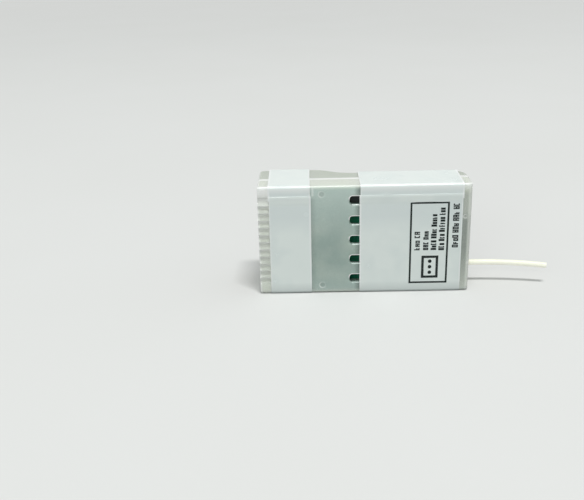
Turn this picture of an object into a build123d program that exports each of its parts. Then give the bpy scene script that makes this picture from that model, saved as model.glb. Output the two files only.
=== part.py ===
"""Six-channel radio-control receiver: two moulded half shells, wrap label, boards, end pins and aerial stub.

Millimetres. X runs from the plug mouth (-X) to the aerial (+X), Z across the narrow sides, and the broad
front face looks along -Y. The receiver stands on one narrow side at Z = 0. Y = 0 is the middle plug row.
"""

import math
import os

from build123d import *

# Servo plug grid
pin_pitch = 2.54
channel_count = 6
row_count = 3
pin_width = 0.64
pin_reach = 5.6
pin_tip_length = 0.5
pin_tip_taper = 0.15
signal_tail = 1.8
short_tail = 0.6
plug_play_across = 0.24
plug_play_along = 0.18

# Case shells
case_length = 35.2
thin_depth = 8.1
mouth_face_wall = 1.1
mouth_side_wall = 1.64
bay_face_wall = 0.8
bay_side_wall = 1.1
end_wall = 1.1
mouth_recess = 1.9
thick_length = 8.9
bend_length = 7.0
mouth_corner_radius = 0.9
front_corner_radius = 0.6
rear_corner_radius = 2.2
front_edge_radius = 0.35
rear_edge_radius = 0.4
rear_side_step = 0.08
smallest_inner_radius = 0.3
rim_radius = 0.25
lip_thickness = 0.45
lip_height = 0.7
lip_play = 0.05
mouth_lead_in = 0.25

# Fluted grip strip and the key ways for the plugs' ridges
flute_width = 1.27
flute_count = 11
top_flute_width = 1.665
flute_depth = 0.2
flute_margin = 1.665
strip_length = 1.8
key_width = 1.27
key_depth = 0.55

# Vent slots, moulding marks and the link switch's access hole
vent_count = 5
vent_pitch = 3.45
vent_height = 1.45
vent_length = 8.0
vent_corner_radius = 0.5
vent_chamfer = 0.08
vent_start = 15.13
ejector_mark_diameter = 1.0
ejector_mark_depth = 0.05
ejector_mark_from_mouth = 10.55
ejector_mark_from_edge = 1.4
gate_mark_diameter = 0.6
gate_mark_from_end = 1.04
gate_mark_height = 13.23
link_hole_diameter = 2.0

# Wrap label
label_film = 0.08
mouth_band_length = 6.9
aerial_band_start = 16.83
aerial_band_length = 16.92
label_front_radius = 0.45
label_rear_radius = 0.25
panel_margin = 1.2
lap_from_top = 1.95
lap_length = 1.4
label_hole_diameter = 2.6

# Boards and the header
header_depth = 2.5
header_play = 0.05
header_groove = 0.35
header_board_thickness = 0.8
header_board_margin = 0.6
plated_hole_play = 0.04
main_board_thickness = 0.6
board_play = 0.1
board_corner_radius = 0.5
board_end_gap = 0.2
ledge_width = 0.8
strip_end_gap = 1.2
rib_count = 3
rib_length = 2.2

# Aerial
aerial_diameter = 0.94
aerial_core_width = 0.28
aerial_play = 0.02
aerial_height = 3.51
aerial_straight = 1.5
aerial_reach = 13.72
aerial_swing = 1.4
aerial_droop = 0.31
aerial_inner_length = 5.0
aerial_bared_length = 1.6
solder_radius = 0.75
solder_height = 0.7
solder_slope = 30

# Link switch
switch_length = 3.2
switch_width = 3.0
switch_floor = 0.4
switch_bore = 2.3
switch_cover_thickness = 0.15
switch_cover_hole = 1.5
switch_tab_width = 1.2
switch_from_end = 3.6
switch_above_middle = 4.0
button_flange_diameter = 2.05
button_flange_height = 0.3
button_stem_diameter = 1.3
button_stem_height = 1.3
button_travel = 0.25
button_rest_gap = 0.02
dome_diameter = 2.0
dome_rise = 0.2
dome_sheet = 0.07
button_tip_bevel = 0.15

# Screening can
can_length = 8.0
can_width = 8.6
can_height = 1.6
can_sheet = 0.2
can_corner_radius = 0.5
can_from_end = 6.6

# Components on the main board, each as length along the case, width and height
chip_bevel = 0.08
radio_chip_size = (4.0, 4.0, 0.8)
crystal_size = (2.5, 2.0, 0.6)
crystal_gap = 0.6
choke_size = (2.0, 1.6, 1.0)
regulator_size = (2.9, 1.6, 1.1)
regulator_from_header = 5.2
regulator_above_middle = 6.45
supply_capacitor_size = (3.2, 1.6, 1.6)
supply_capacitor_below_middle = 5.6
filter_size = (2.0, 1.25, 0.8)
filter_gap = 0.5
lamp_size = (1.6, 0.8, 0.7)
lamp_from_end = 2.9
lamp_below_middle = 1.5
controller_size = (6.0, 6.0, 0.9)
resistor_size = (1.0, 0.5, 0.35)
resistor_from_header = 1.8
capacitor_size = (1.0, 0.5, 0.5)
capacitor_count = 4
capacitor_gap = 0.9
capacitor_spread = 2.2

# Worked out from the sizes above
plug_across = row_count * pin_pitch
plug_along = channel_count * pin_pitch
mouth_across = plug_across + 2 * plug_play_across
mouth_along = plug_along + 2 * plug_play_along
thick_depth = mouth_across + 2 * mouth_face_wall
case_height = mouth_along + 2 * mouth_side_wall
mouth_x = -case_length / 2
aerial_end_x = case_length / 2
front_y = -thick_depth / 2
thick_y = thick_depth / 2
thin_y = front_y + thin_depth
low_z = label_film
high_z = low_z + case_height
middle_z = (low_z + high_z) / 2
pin_tip_x = mouth_x + mouth_recess
header_front_x = pin_tip_x + pin_reach
header_back_x = header_front_x + header_depth
board_front_x = header_back_x + header_board_thickness
board_end_x = aerial_end_x - end_wall - board_end_gap
signal_y = -pin_pitch * (row_count - 1) / 2
board_front_y = signal_y + pin_width / 2
board_rear_y = board_front_y + main_board_thickness
aerial_y = board_rear_y + aerial_play + aerial_diameter / 2
parting_y = aerial_y + aerial_diameter / 2 + aerial_play
bay_low_z = low_z + bay_side_wall
bay_high_z = high_z - bay_side_wall
board_low_z = bay_low_z + board_play
board_high_z = bay_high_z - board_play
mouth_front_y = front_y + mouth_face_wall
bay_front_y = front_y + bay_face_wall
bay_thin_y = thin_y - bay_face_wall
inner_end_x = aerial_end_x - end_wall
bay_strip_start_x = board_front_x + strip_end_gap
bay_strip_end_x = inner_end_x - strip_end_gap
aerial_z = low_z + aerial_height
switch_x = aerial_end_x - switch_from_end
switch_z = middle_z + switch_above_middle
aerial_bend_x = aerial_end_x + aerial_straight
far = 4 * case_length


def block(low, high):
    """Box between two opposite corners."""
    size = [b - a for a, b in zip(low, high)]
    return Pos(*low) * Box(*size, align=(Align.MIN, Align.MIN, Align.MIN))


def rod(centre, direction, diameter, length):
    """Round bar that starts at a point and runs along a direction."""
    circle = Plane(origin=centre, z_dir=direction) * Circle(diameter / 2)
    return extrude(circle, length)


def edges_across_z(solid, low, high):
    """Edges lying flat in either of the two planes that bound a solid along Z."""
    flat = solid.edges().filter_by_position(Axis.Z, low, low, inclusive=(True, True))
    return flat + solid.edges().filter_by_position(Axis.Z, high, high, inclusive=(True, True))


def case_plan(grow=0.0):
    """Outline of the closed case seen along Z, moved outward by grow, with its S bend from thick to thin."""
    drop = thick_y - thin_y
    slope = 2 * math.atan2(drop, bend_length)
    bend_head = mouth_x + thick_length
    bend_middle = (
        bend_head + bend_length / 2 + grow * math.sin(slope),
        (thick_y + thin_y) / 2 + grow * math.cos(slope),
    )
    left, right = mouth_x - grow, aerial_end_x + grow
    near, thick, thin = front_y - grow, thick_y + grow, thin_y + grow
    bend_foot = bend_head + bend_length
    upper = TangentArc((bend_head, thick), bend_middle, tangent=(1, 0))
    lower = TangentArc((bend_foot, thin), bend_middle, tangent=(-1, 0))
    outline = [
        Line((bend_head, thick), (left, thick)),
        Line((left, thick), (left, near)),
        Line((left, near), (right, near)),
        Line((right, near), (right, thin)),
        Line((right, thin), (bend_foot, thin)),
        lower,
        upper,
    ]
    plan = make_face(outline)
    corners = {
        (left, thick): mouth_corner_radius,
        (right, near): front_corner_radius,
        (right, thin): rear_corner_radius,
    }
    for corner, radius in corners.items():
        vertex = plan.vertices().sort_by_distance((*corner, 0))[0]
        plan = fillet(vertex, max(radius + grow, smallest_inner_radius))
    return plan


def case_half(front, grow=0.0, side_step=0.0, edge_radius=0.0):
    """Closed solid of the front or rear half of the case, rounded round its outer edges."""
    low = low_z - grow + side_step
    high = high_z + grow - side_step
    edge = Align.MAX if front else Align.MIN
    side = Pos(0, parting_y) * Rectangle(far, far, align=(Align.CENTER, edge))
    half = extrude(Pos(0, 0, low) * (case_plan(grow) & side), high - low, dir=(0, 0, 1))
    rims = edges_across_z(half, low, high)
    outer_rims = [rim for rim in rims if abs(rim.center().Y - parting_y) > edge_radius / 2]
    return fillet(outer_rims, edge_radius)


def bay(low_x):
    """Hollow over the boards, behind the header, inside the walls of the case."""
    hollow = extrude(Pos(0, 0, bay_low_z) * case_plan(-bay_face_wall), bay_high_z - bay_low_z, dir=(0, 0, 1))
    return hollow & block((low_x, -far, -far), (inner_end_x, far, far))


def mouth():
    """Straight hollow that takes the plugs, with a lead-in round its edge."""
    half_across, half_along = mouth_across / 2, mouth_along / 2
    hollow = block(
        (mouth_x - mouth_lead_in, -half_across, middle_z - half_along),
        (header_back_x, half_across, middle_z + half_along),
    )
    funnel = Plane.YZ.offset(mouth_x - mouth_lead_in) * Pos(0, middle_z) * Rectangle(
        mouth_across + 4 * mouth_lead_in, mouth_along + 4 * mouth_lead_in
    )
    return hollow + extrude(funnel, 2 * mouth_lead_in, taper=45)


def channel_heights():
    """Height of each channel's pins, lowest first."""
    first = middle_z - pin_pitch * (channel_count - 1) / 2
    return [first + pin_pitch * channel for channel in range(channel_count)]


def flute(low, width):
    """Hollow groove across the strip, a shallow arc of the strip's length as its section."""
    radius = (width**2 / 4 + flute_depth**2) / (2 * flute_depth)
    centre = (mouth_x, front_y + flute_depth - radius, low + width / 2)
    return rod(centre, (1, 0, 0), 2 * radius, strip_length)


def flutes():
    """Row of grooves up the strip beside the mouth, the top one a little wider."""
    lowest = low_z + flute_margin
    grooves = [flute(lowest + flute_width * turn, flute_width) for turn in range(flute_count)]
    return grooves + [flute(lowest + flute_width * flute_count, top_flute_width)]


def vent(height):
    """Round-cornered slot through the front face, with its rim bevelled."""
    middle_x = mouth_x + vent_start + vent_length / 2
    plane = Plane(origin=(middle_x, front_y - vent_chamfer, height), x_dir=(1, 0, 0), z_dir=(0, 1, 0))
    wide = RectangleRounded(
        vent_length + 4 * vent_chamfer, vent_height + 4 * vent_chamfer, vent_corner_radius + 2 * vent_chamfer
    )
    slot = extrude(
        plane * RectangleRounded(vent_length, vent_height, vent_corner_radius), bay_face_wall + vent_chamfer
    )
    return slot + extrude(plane * wide, 2 * vent_chamfer, taper=45)


def side_strips(low_x, high_x, low_y, high_y, inward=0.0, outward=0.0):
    """Bars along both side walls of the bay, standing inward or lying outward in their thickness."""
    return [
        block((low_x, low_y, bay_low_z - outward), (high_x, high_y, bay_low_z + inward)),
        block((low_x, low_y, bay_high_z - inward), (high_x, high_y, bay_high_z + outward)),
    ]


def aerial_notch():
    """Open-ended notch in the end wall that grips the aerial between the two shells."""
    width = aerial_diameter + 2 * aerial_play
    start = (inner_end_x, aerial_y, aerial_z)
    slot = block(
        (inner_end_x, aerial_y, aerial_z - width / 2),
        (aerial_end_x, parting_y, aerial_z + width / 2),
    )
    return rod(start, (1, 0, 0), width, end_wall) + slot


def front_shell():
    """Half shell with the broad front face: flutes, key ways, vents, ledges and the aerial notch."""
    shell = case_half(True, edge_radius=front_edge_radius)
    rim_y = parting_y
    rim = [e for e in shell.edges().filter_by(Axis.X) if abs(e.center().Y - rim_y) < rim_radius / 2]
    shell = fillet(rim, rim_radius)
    shell -= mouth()
    shell -= bay(header_back_x)
    shell -= flutes()
    shell -= [
        block(
            (mouth_x, mouth_front_y - key_depth, height - key_width / 2),
            (header_front_x, mouth_front_y, height + key_width / 2),
        )
        for height in channel_heights()
    ]
    first_vent = middle_z - vent_pitch * (vent_count - 1) / 2
    shell -= [vent(first_vent + vent_pitch * turn) for turn in range(vent_count)]
    for height in (low_z + ejector_mark_from_edge, high_z - ejector_mark_from_edge):
        mark = (mouth_x + ejector_mark_from_mouth, front_y, height)
        shell -= rod(mark, (0, 1, 0), ejector_mark_diameter, ejector_mark_depth)
    gate = (aerial_end_x - gate_mark_from_end, front_y, low_z + gate_mark_height)
    shell -= rod(gate, (0, 1, 0), gate_mark_diameter, ejector_mark_depth)
    ledge_start_x = mouth_x + vent_start + vent_length + strip_end_gap
    shell += side_strips(ledge_start_x, bay_strip_end_x, bay_front_y, board_front_y, inward=ledge_width)
    shell -= side_strips(
        bay_strip_start_x,
        bay_strip_end_x,
        parting_y - lip_height - lip_play,
        parting_y,
        outward=lip_thickness + lip_play,
    )
    shell -= aerial_notch()
    return shell


def rear_shell():
    """Half shell with the S bend: ribs that hold the board down, locating lip and the link switch's hole."""
    shell = case_half(False, side_step=rear_side_step, edge_radius=rear_edge_radius)
    shell -= mouth()
    shell -= bay(header_back_x)
    hollow = bay(board_front_x)
    rib_step = (bay_strip_end_x - bay_strip_start_x - rib_length) / (rib_count - 1)
    for turn in range(rib_count):
        low_x = bay_strip_start_x + rib_step * turn
        for rib in side_strips(low_x, low_x + rib_length, board_rear_y, thick_y, inward=ledge_width):
            shell += rib & hollow
    shell += side_strips(
        bay_strip_start_x,
        bay_strip_end_x,
        parting_y - lip_height,
        parting_y + rear_edge_radius,
        outward=lip_thickness,
    )
    shell -= rod((switch_x, bay_thin_y, switch_z), (0, 1, 0), link_hole_diameter, bay_face_wall)
    return shell


def wrap_label():
    """One die-cut film: a panel across the rear face and two bands that wrap the sides and lap in front."""
    outer = case_half(True, grow=label_film, edge_radius=label_front_radius)
    outer += case_half(False, grow=label_film, edge_radius=label_rear_radius)
    inner = case_half(True, edge_radius=front_edge_radius)
    inner += case_half(False, edge_radius=label_rear_radius - label_film)
    band_ends = (
        (mouth_x + strip_length, mouth_x + strip_length + mouth_band_length),
        (mouth_x + aerial_band_start, mouth_x + aerial_band_start + aerial_band_length),
    )
    cut = block(
        (band_ends[0][0], parting_y, low_z + panel_margin),
        (band_ends[1][1], far, high_z - panel_margin),
    )
    laps = []
    for low_x, high_x in band_ends:
        cut += block((low_x, -far, -far), (high_x, far, far))
        seam_z = high_z + label_film - lap_from_top
        corners = [
            (front_y - label_film, seam_z),
            (front_y - 2 * label_film, seam_z),
            (front_y - label_film, seam_z - lap_length),
        ]
        lap = Plane.YZ.offset(low_x) * make_face(Polyline(*corners, close=True))
        laps.append(extrude(lap, high_x - low_x))
    label = (outer - inner) & cut
    label += laps
    return label - rod((switch_x, thin_y, switch_z), (0, 1, 0), label_hole_diameter, label_film)


def pin(row_y, height, tail):
    """Square post with a tapered tip, from inside the mouth through the header to its solder tail."""
    half = pin_width / 2
    post = block((pin_tip_x, row_y - half, height - half), (board_front_x + tail, row_y + half, height + half))
    tip = post.faces().sort_by(Axis.X)[0]
    return chamfer(tip.edges(), pin_tip_taper, pin_tip_length, reference=tip)


def rows():
    """Name and place of each row of pins: signal at the front, then positive and negative."""
    names = ("signal", "positive", "negative")
    return [(name, signal_y + pin_pitch * place) for place, name in enumerate(names)]


def pin_holes(start_x, length, play):
    """Square holes for all the pins, wider than a pin by the play on each side."""
    width = pin_width + 2 * play
    start = Plane.YZ.offset(start_x)
    return [
        extrude(start * Pos(row_y, height) * Rectangle(width, width), length)
        for _, row_y in rows()
        for height in channel_heights()
    ]


def header_block():
    """Nylon insulator that carries the pins, notched between the channels as such strips are."""
    half_across = mouth_across / 2 - header_play
    half_along = mouth_along / 2 - header_play
    body = block(
        (header_front_x, -half_across, middle_z - half_along),
        (header_back_x, half_across, middle_z + half_along),
    )
    for height in channel_heights()[1:]:
        for edge_y in (-half_across, half_across):
            notch = Pos(header_front_x, edge_y, height - pin_pitch / 2) * Rot(45, 0, 0)
            body -= notch * Box(
                header_depth, header_groove, header_groove, align=(Align.MIN, Align.CENTER, Align.CENTER)
            )
    return body - pin_holes(header_front_x, header_depth, 0)


def header_board():
    """Small upright board behind the header, with a plated hole for each pin."""
    half_across = pin_pitch + pin_width / 2 + plated_hole_play + header_board_margin
    board = block((header_back_x, -half_across, board_low_z), (board_front_x, half_across, board_high_z))
    return board - pin_holes(header_back_x, header_board_thickness, plated_hole_play)


def main_board():
    """Printed board that butts against the header board, with its rear corners rounded."""
    board = block((board_front_x, board_front_y, board_low_z), (board_end_x, board_rear_y, board_high_z))
    corners = board.edges().filter_by(Axis.Y).group_by(Axis.X)[-1]
    return fillet(corners, board_corner_radius)


def on_board(middle_x, height, length, width, rise, rear=True):
    """Block standing on one face of the main board, centred at a place along and up the board."""
    low_y = board_rear_y if rear else board_front_y - rise
    low = (middle_x - length / 2, low_y, height - width / 2)
    return block(low, (low[0] + length, low_y + rise, low[2] + width))


def chip(middle_x, height, size, rear=True):
    """Moulded or ceramic component body with its top edges bevelled."""
    body = on_board(middle_x, height, *size, rear=rear)
    top = body.faces().sort_by(Axis.Y)[-1 if rear else 0]
    return chamfer(top.edges(), chip_bevel)


def screening_can():
    """Thin can drawn from sheet, open towards the board."""
    middle_x = aerial_end_x - can_from_end - can_length / 2
    outer = on_board(middle_x, middle_z, can_length, can_width, can_height)
    outer = fillet(outer.edges().filter_by(Axis.Y), can_corner_radius)
    inner = on_board(
        middle_x, middle_z, can_length - 2 * can_sheet, can_width - 2 * can_sheet, can_height - can_sheet
    )
    return outer - fillet(inner.edges().filter_by(Axis.Y), can_corner_radius - can_sheet)


def aerial_route():
    """Centre line of the aerial: straight along the board and out of the case, then one slow bend."""
    inside = Line((aerial_end_x - aerial_inner_length, aerial_y, aerial_z), (aerial_bend_x, aerial_y, aerial_z))
    tip = (aerial_end_x + aerial_reach, aerial_y - aerial_swing, aerial_z - aerial_droop)
    return Wire([inside, TangentArc(inside @ 1, tip, tangent=(1, 0, 0))])


def strand(start_x):
    """Section of the aerial's stranded wire, a hexagon as seven strands make it."""
    start = Plane(origin=(start_x, aerial_y, aerial_z), z_dir=(1, 0, 0))
    return start * RegularPolygon(aerial_core_width / 2, 6, major_radius=False)


def aerial_jacket():
    """White sheath of the aerial, cut square at its tip."""
    start_x = aerial_end_x - aerial_inner_length
    start = Plane(origin=(start_x, aerial_y, aerial_z), z_dir=(1, 0, 0))
    return sweep(start * Circle(aerial_diameter / 2) - strand(start_x), path=aerial_route())


def aerial_core():
    """Silvered wire inside the sheath, bared at its inner end where it is soldered down."""
    start_x = aerial_end_x - aerial_inner_length
    return sweep(strand(start_x), path=aerial_route()) + extrude(strand(start_x), -aerial_bared_length)


def aerial_joint():
    """Cone of solder that holds the bared wire to its pad on the board."""
    wire_end_x = aerial_end_x - aerial_inner_length - aerial_bared_length
    pad = Plane(origin=(wire_end_x + solder_radius, board_rear_y, aerial_z), z_dir=(0, 1, 0))
    cone = extrude(pad * Circle(solder_radius), solder_height, taper=solder_slope)
    return cone - extrude(strand(wire_end_x), aerial_bared_length)


def switch_levels():
    """Heights of the link switch above the board: dome floor, button foot, button flange top and cover top."""
    floor = board_rear_y + switch_floor
    foot = floor + dome_sheet + dome_rise + button_travel + button_rest_gap
    flange_top = foot + button_flange_height
    return floor, foot, flange_top, flange_top + switch_cover_thickness


def switch_body():
    """Moulded base of the link switch, with the well that its dome and button sit in."""
    floor, _, flange_top, _ = switch_levels()
    body = on_board(switch_x, switch_z, switch_length, switch_width, flange_top - board_rear_y)
    return body - rod((switch_x, floor, switch_z), (0, 1, 0), switch_bore, flange_top - floor)


def switch_cover():
    """Steel plate over the switch, with a tab folded down each side to the board."""
    _, _, flange_top, cover_top = switch_levels()
    half_length, half_width = switch_length / 2, switch_width / 2
    plate = block(
        (switch_x - half_length, flange_top, switch_z - half_width - switch_cover_thickness),
        (switch_x + half_length, cover_top, switch_z + half_width + switch_cover_thickness),
    )
    half_tab = switch_tab_width / 2
    for low_z_tab in (switch_z - half_width - switch_cover_thickness, switch_z + half_width):
        plate += block(
            (switch_x - half_tab, board_rear_y, low_z_tab),
            (switch_x + half_tab, flange_top, low_z_tab + switch_cover_thickness),
        )
    return plate - rod((switch_x, flange_top, switch_z), (0, 1, 0), switch_cover_hole, switch_cover_thickness)


def switch_dome():
    """Springy contact dome, a shallow cap of thin steel resting on the floor of the well."""
    floor = switch_levels()[0]
    radius = ((dome_diameter / 2) ** 2 + dome_rise**2) / (2 * dome_rise)
    centre = Pos(switch_x, floor + dome_rise - radius, switch_z)
    cap = centre * (Sphere(radius + dome_sheet) - Sphere(radius))
    return cap & rod((switch_x, floor, switch_z), (0, 1, 0), dome_diameter, dome_rise + dome_sheet)


def link_button():
    """Plunger of the link switch: a flange held under the cover and a stem reached through the case."""
    _, foot, flange_top, _ = switch_levels()
    flange = rod((switch_x, foot, switch_z), (0, 1, 0), button_flange_diameter, button_flange_height)
    stem = rod((switch_x, flange_top, switch_z), (0, 1, 0), button_stem_diameter, button_stem_height)
    tip = stem.edges().filter_by(GeomType.CIRCLE).sort_by(Axis.Y)[-1]
    return flange + chamfer(tip, button_tip_bevel)


def board_components():
    """Every component soldered to the main board, by name."""
    can_x = aerial_end_x - can_from_end - can_length / 2
    supply_x = board_front_x + regulator_from_header
    wire_end_x = aerial_end_x - aerial_inner_length - aerial_bared_length
    beside_can_x = can_x - can_length / 2 - crystal_gap - crystal_size[0] / 2
    parts = {
        "radio_chip": chip(can_x, middle_z, radio_chip_size),
        "crystal": chip(beside_can_x, middle_z + pin_pitch, crystal_size),
        "choke": chip(beside_can_x, middle_z - pin_pitch, choke_size),
        "voltage_regulator": chip(supply_x, middle_z + regulator_above_middle, regulator_size, rear=False),
        "supply_capacitor": chip(supply_x, middle_z - supply_capacitor_below_middle, supply_capacitor_size),
        "aerial_filter": chip(wire_end_x - filter_gap - filter_size[0] / 2, aerial_z, filter_size),
        "status_lamp": chip(aerial_end_x - lamp_from_end, middle_z - lamp_below_middle, lamp_size),
        "microcontroller": chip(can_x, middle_z, controller_size, rear=False),
    }
    for turn, height in enumerate(channel_heights()):
        place_x = board_front_x + resistor_from_header
        parts[f"signal_resistor_{turn + 1}"] = chip(place_x, height, resistor_size)
    side = controller_size[0] / 2 + capacitor_gap + capacitor_size[0] / 2
    for turn in range(capacitor_count):
        across = side if turn % 2 else -side
        along = capacitor_spread if turn > 1 else -capacitor_spread
        parts[f"chip_capacitor_{turn + 1}"] = chip(can_x + across, middle_z + along, capacitor_size, rear=False)
    return parts


def receiver():
    """Every sub-part of the receiver, by node name."""
    parts = {
        "front_shell": front_shell(),
        "rear_shell": rear_shell(),
        "wrap_label": wrap_label(),
        "header_block": header_block(),
        "header_board": header_board(),
        "main_board": main_board(),
        "screening_can": screening_can(),
        "aerial_jacket": aerial_jacket(),
        "aerial_core": aerial_core(),
        "aerial_joint": aerial_joint(),
        "switch_body": switch_body(),
        "switch_cover": switch_cover(),
        "switch_dome": switch_dome(),
        "link_button": link_button(),
    }
    for name, row_y in rows():
        tail = signal_tail if name == "signal" else short_tail
        for channel, height in enumerate(channel_heights()):
            parts[f"{name}_pin_{channel + 1}"] = pin(row_y, height, tail)
    parts.update(board_components())
    return parts


os.makedirs("parts", exist_ok=True)
for node, solid in receiver().items():
    export_step(solid, f"parts/{node}.step")
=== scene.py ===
import math

import bpy
import numpy as np
from mathutils import Matrix, Vector


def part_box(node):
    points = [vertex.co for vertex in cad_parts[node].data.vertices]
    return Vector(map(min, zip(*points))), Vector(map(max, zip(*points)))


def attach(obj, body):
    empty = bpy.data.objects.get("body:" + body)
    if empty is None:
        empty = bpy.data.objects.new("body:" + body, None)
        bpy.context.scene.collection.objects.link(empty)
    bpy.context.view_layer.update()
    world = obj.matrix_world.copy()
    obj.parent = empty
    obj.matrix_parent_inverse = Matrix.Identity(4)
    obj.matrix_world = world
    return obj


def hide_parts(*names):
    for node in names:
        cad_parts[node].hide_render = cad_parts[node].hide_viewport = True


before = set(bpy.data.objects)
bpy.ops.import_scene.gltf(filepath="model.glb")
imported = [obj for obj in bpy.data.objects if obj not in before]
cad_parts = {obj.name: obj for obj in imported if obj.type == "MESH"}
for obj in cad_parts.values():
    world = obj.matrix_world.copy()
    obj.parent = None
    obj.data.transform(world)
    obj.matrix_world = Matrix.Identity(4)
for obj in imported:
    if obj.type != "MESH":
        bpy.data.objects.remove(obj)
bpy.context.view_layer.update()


# Boards: glass laminate under green solder mask, the small upright one carrying the pins and the long one
# every component. Copper shows through the mask as paler tracks, and the sawn edges show the bare laminate.
MM = 0.001
MASK_OVER_LAMINATE = (9, 104, 78)
MASK_OVER_COPPER = (20, 122, 90)
BARE_LAMINATE = (150, 152, 104)
LAMINATE_WEAVE = (110, 112, 70)
TINNED_VIA = (176, 178, 172)
PATCHES_PER_MM = 0.32
BARE_SHARE, POUR_SHARE = 0.3, 0.26
TRACK_PITCH, TRACK_SHARE = 0.62, 0.4
VIAS_PER_MM, VIA_RADIUS = 0.45, 0.17


def tint(red, green, blue):
    """Colour of a surface from its sRGB values, as a linear one."""
    share = np.array((red, green, blue)) / 255
    linear = np.where(share <= 0.04045, share / 12.92, ((share + 0.055) / 1.055) ** 2.4)
    return (*map(float, linear), 1.0)


class Socket:
    """Output of a node. Arithmetic on it adds the Math nodes that work it out."""

    def __init__(self, finish, output):
        self.finish, self.output = finish, output

    def math(self, operation, *others):
        return self.finish.node("Math", {"operation": operation}, dict(enumerate((self, *others))))

    def most(self, *others):
        """The greatest of this number and others."""
        greatest = self
        for other in others:
            greatest = greatest.math("MAXIMUM", other)
        return greatest

    def __add__(self, other):
        return self.math("ADD", other)

    def __sub__(self, other):
        return self.math("SUBTRACT", other)

    def __rsub__(self, other):
        return self.finish.node("Math", {"operation": "SUBTRACT"}, {0: other, 1: self})

    def __mul__(self, other):
        return self.math("MULTIPLY", other)

    def __truediv__(self, other):
        return self.math("DIVIDE", other)

    def __gt__(self, other):
        return self.math("GREATER_THAN", other)

    def __lt__(self, other):
        return self.math("LESS_THAN", other)

    def __abs__(self):
        return self.math("ABSOLUTE")

    __radd__ = __add__
    __rmul__ = __mul__


class Finish:
    """One material under way. node() adds any node to it, and surface() ends it."""

    def __init__(self, name, tree=None):
        if tree is None:
            self.material = bpy.data.materials.new(name)
            self.material.use_nodes = True
        self.tree = tree or self.material.node_tree
        self.tree.nodes.clear()

    def node(self, kind, settings=None, inputs=None, out=0):
        """Adds a node with its settings, gives its inputs their values or links, and returns one output."""
        made = self.tree.nodes.new("ShaderNode" + kind)
        for name, value in (settings or {}).items():
            setattr(made, name, value)
        for name, value in (inputs or {}).items():
            if isinstance(value, Socket):
                self.tree.links.new(value.output, made.inputs[name])
            else:
                made.inputs[name].default_value = value
        return Socket(self, made.outputs[out]) if made.outputs else None

    def place(self):
        """Where a point is on the receiver, in millimetres."""
        metres = self.node("TexCoord", out="Object")
        return self.node("VectorMath", {"operation": "SCALE"}, {0: metres, "Scale": 1 / MM})

    def split(self, vector):
        """The three numbers of a vector."""
        parts = self.node("SeparateXYZ", inputs={0: vector})
        return [Socket(self, output) for output in parts.output.node.outputs]

    def noise(self, where, per_mm, detail=2.0, roughness=0.5):
        """Cloudy noise from 0 to 1 with so many features to the millimetre."""
        inputs = {"Vector": where, "Scale": per_mm, "Detail": detail, "Roughness": roughness}
        return self.node("TexNoise", inputs=inputs)

    def mix(self, low, high, share):
        """Colour between two colours."""
        return self.node("Mix", {"data_type": "RGBA"}, {0: share, 6: low, 7: high}, out=2)

    def lay(self, tone, *layers):
        """Tone with other tones laid over it in turn, each by its share."""
        for layer, share in layers:
            tone = self.mix(tone, tint(*layer), share)
        return tone

    def spread(self, value, low, high, to_low=0.0, to_high=1.0):
        """Moves a number from one range to another, held within it."""
        inputs = {0: value, 1: low, 2: high, 3: to_low, 4: to_high}
        return self.node("MapRange", inputs=inputs)

    def vary(self, noise, least, most):
        """Number that goes from the least to the most over the range that noise mostly stays in."""
        return self.spread(noise, 0.3, 0.7, least, most)

    def stretch(self, where, factors):
        """Place with each of its three numbers multiplied, which draws noise out into lines."""
        return self.node("VectorMath", {"operation": "MULTIPLY"}, {0: where, 1: factors})

    def facing(self):
        """The three numbers of the direction that the surface faces."""
        return self.split(self.node("TexCoord", out="Normal"))

    def bump(self, height, depth):
        """Normal of a surface whose relief is so many millimetres deep where height is 1."""
        return self.node("Bump", inputs={"Height": height, "Distance": depth * MM, "Strength": 1.0})

    def surface(self, **sockets):
        """Ends the material with its shader, whose sockets are given by name."""
        inputs = {name.replace("_", " ").title(): value for name, value in sockets.items()}
        inputs = {name.replace("Ior", "IOR"): value for name, value in inputs.items()}
        shader = self.node("BsdfPrincipled", inputs=inputs)
        self.node("OutputMaterial", inputs={"Surface": shader})
        return self


def dress(finish, *nodes):
    """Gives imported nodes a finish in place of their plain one."""
    for node in nodes:
        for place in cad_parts[node].material_slots:
            place.material = finish.material


def board_finish():
    """Solder mask over tracks that run in parallel patches, with tinned vias and bare sawn edges."""
    finish = Finish("board")
    where = finish.place()
    across, _, up = finish.split(where)
    patches = {"Vector": where, "Scale": PATCHES_PER_MM}
    patch = finish.node("TexVoronoi", {"distance": "CHEBYCHEV"}, patches, out="Color")
    patch_kind, patch_turn, _ = finish.split(patch)
    turned = across * (patch_turn > 0.5) + up * (patch_turn < 0.5)
    stripe = abs((turned / TRACK_PITCH).math("FRACT") - 0.5) < TRACK_SHARE / 2
    copper = (stripe * (patch_kind > BARE_SHARE)).most(patch_kind > 1 - POUR_SHARE)
    from_via = finish.node("TexVoronoi", inputs={"Vector": where, "Scale": VIAS_PER_MM}, out="Distance")
    via = from_via < VIA_RADIUS * VIAS_PER_MM
    face = finish.lay(tint(*MASK_OVER_LAMINATE), (MASK_OVER_COPPER, copper), (TINNED_VIA, via))
    lengthwise, _, upward = finish.facing()
    sawn = (abs(upward) > 0.6).most((lengthwise > 0.6) * (across > 0))
    weave = finish.noise(where, 6.0, detail=4.0)
    edge = finish.mix(tint(*BARE_LAMINATE), tint(*LAMINATE_WEAVE), weave)
    return finish.surface(
        base_color=finish.mix(face, edge, sawn),
        metallic=via * (1 - sawn),
        roughness=finish.vary(weave, 0.28, 0.42) + 0.25 * sawn,
        normal=finish.bump(copper * 0.8 + weave * 0.2, 0.03),
    )


dress(board_finish(), "main_board", "header_board")


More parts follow.
